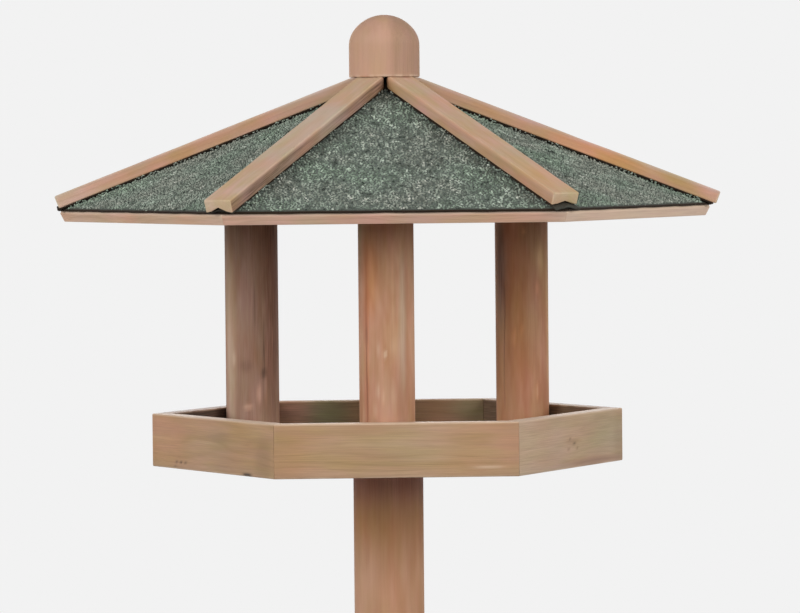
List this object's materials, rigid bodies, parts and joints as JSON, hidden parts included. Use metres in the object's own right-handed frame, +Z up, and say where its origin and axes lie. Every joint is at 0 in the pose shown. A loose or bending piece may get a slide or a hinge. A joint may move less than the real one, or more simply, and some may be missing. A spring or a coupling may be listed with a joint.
{
  "type": "bird table",
  "caption": "Hexagonal wooden bird table: felted hip roof on round uprights over an open feeding tray, on a tall round post with splayed legs.",
  "frame": {"origin": "middle of the post's foot, on the ground", "axes": "+Z up, -Y towards the front side of the tray and roof, +X to the right; two corners of the hexagon lie on the X axis"},
  "size_m": [0.6128, 0.5698, 1.7002],
  "materials": {
    "cap_wood": "turned and sanded, bare",
    "batten_wood": "planed, bare",
    "strip_felt": "bitumen felt, folded",
    "mineral_felt": "bitumen felt with green-grey mineral chips",
    "panel_wood": "planed, bare",
    "upright_wood": "turned, weathered",
    "tray_wood": "planed, weathered",
    "floor_wood": "planed, weathered",
    "post_wood": "turned, weathered"
  },
  "bodies": {
    "root": {"cap": "cap_wood", "hip_batten_right": "batten_wood", "hip_batten_back_right": "batten_wood", "hip_batten_back_left": "batten_wood", "hip_batten_left": "batten_wood", "hip_batten_front_left": "batten_wood", "hip_batten_front_right": "batten_wood", "hip_strip_right": "strip_felt", "hip_strip_back_right": "strip_felt", "hip_strip_back_left": "strip_felt", "hip_strip_left": "strip_felt", "hip_strip_front_left": "strip_felt", "hip_strip_front_right": "strip_felt", "roof_felt_back_right": "mineral_felt", "roof_felt_back": "mineral_felt", "roof_felt_back_left": "mineral_felt", "roof_felt_front_left": "mineral_felt", "roof_felt_front": "mineral_felt", "roof_felt_front_right": "mineral_felt", "roof_panel_back_right": "panel_wood", "roof_panel_back": "panel_wood", "roof_panel_back_left": "panel_wood", "roof_panel_front_left": "panel_wood", "roof_panel_front": "panel_wood", "roof_panel_front_right": "panel_wood", "upright_back_right": "upright_wood", "upright_back_left": "upright_wood", "upright_front": "upright_wood", "tray_side_back_right": "tray_wood", "tray_side_back": "tray_wood", "tray_side_back_left": "tray_wood", "tray_side_front_left": "tray_wood", "tray_side_front": "tray_wood", "tray_side_front_right": "tray_wood", "tray_floor": "floor_wood", "post": "post_wood", "leg_back_right": "post_wood", "leg_back_left": "post_wood", "leg_front": "post_wood"}
  },
  "joints": []
}
